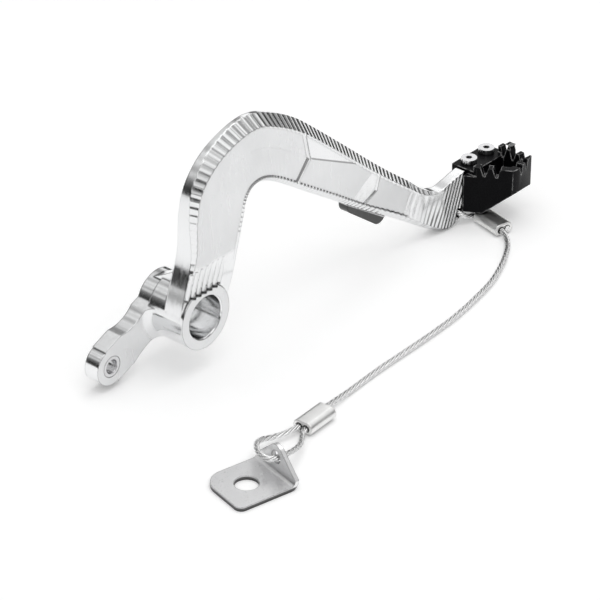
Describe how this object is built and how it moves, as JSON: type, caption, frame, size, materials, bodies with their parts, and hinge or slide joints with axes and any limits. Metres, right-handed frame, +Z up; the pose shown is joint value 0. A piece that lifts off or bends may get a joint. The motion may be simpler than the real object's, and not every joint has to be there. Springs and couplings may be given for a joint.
{
  "type": "rear brake pedal",
  "caption": "Milled aluminium rear brake pedal for an off-road motorcycle, with an arched arm, toothed toe piece, rod lever and wire safety cable.",
  "frame": {"origin": "on the pivot bore's axis, in the plane of the arm's outer face", "axes": "-Y along the pivot bore away from the motorcycle, +X forward to the toe piece, +Z up"},
  "size_m": [0.2466, 0.1062, 0.0986],
  "materials": {
    "arm_aluminium": "polished, milled",
    "steel": "bright",
    "black_anodised": "black anodised, satin",
    "cable_steel": "stranded stainless wire",
    "ferrule_metal": "pressed, dull",
    "plated_steel": "zinc plated, satin"
  },
  "bodies": {
    "pedal": {"pedal_arm": "arm_aluminium", "lever_insert": "steel", "step_tip": "black_anodised", "step_screws": "steel", "safety_cable": "cable_steel", "upper_ferrule": "ferrule_metal", "lower_ferrule": "ferrule_metal"},
    "bracket": {"end_bracket": "plated_steel"}
  },
  "joints": [
    {"name": "bracket_swing", "type": "hinge", "parent": "pedal", "child": "bracket", "pos_m": [-0.03567, -0.06949, -0.016], "axis": [-0.9728, 0.2317, 0], "range_deg": [-3, 10]}
  ]
}
